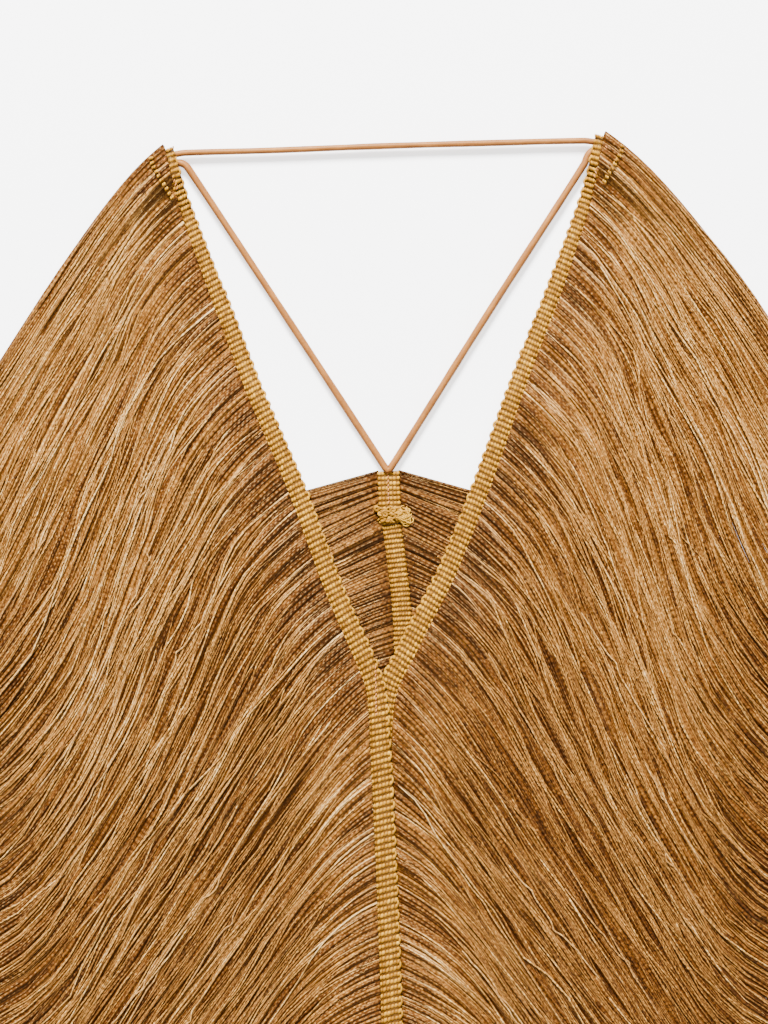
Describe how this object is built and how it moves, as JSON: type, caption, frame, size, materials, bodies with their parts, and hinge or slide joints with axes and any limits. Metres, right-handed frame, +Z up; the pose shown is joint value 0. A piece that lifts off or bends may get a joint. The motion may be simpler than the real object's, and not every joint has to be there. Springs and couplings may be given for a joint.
{
  "type": "fringed halter evening gown",
  "caption": "Evening gown of long golden yarn fringe hung from woven tapes, with a deep V neck and a round leather halter cord, laid flat on its back.",
  "frame": {"origin": "centre of the gown's outline, on the surface that it lies on", "axes": "+Y from the hem to the shoulder tips, +X to the right as seen from the front, +Z up out of the front"},
  "size_m": [0.5684, 1.3997, 0.007],
  "materials": {
    "yarn": "twisted yarn with a soft sheen",
    "tape": "ribbed woven tape",
    "leather": "matte tan"
  },
  "bodies": {
    "root": {"front_tape_left": "tape", "front_tape_right": "tape", "back_tape": "tape", "side_tape_front_left": "tape", "side_tape_front_right": "tape", "side_tape_back_left": "tape", "side_tape_back_right": "tape", "front_fringe_left": "yarn", "front_fringe_right": "yarn", "back_fringe_left": "yarn", "back_fringe_right": "yarn", "halter_cord_top": "leather", "halter_cord_back": "leather"}
  },
  "joints": []
}
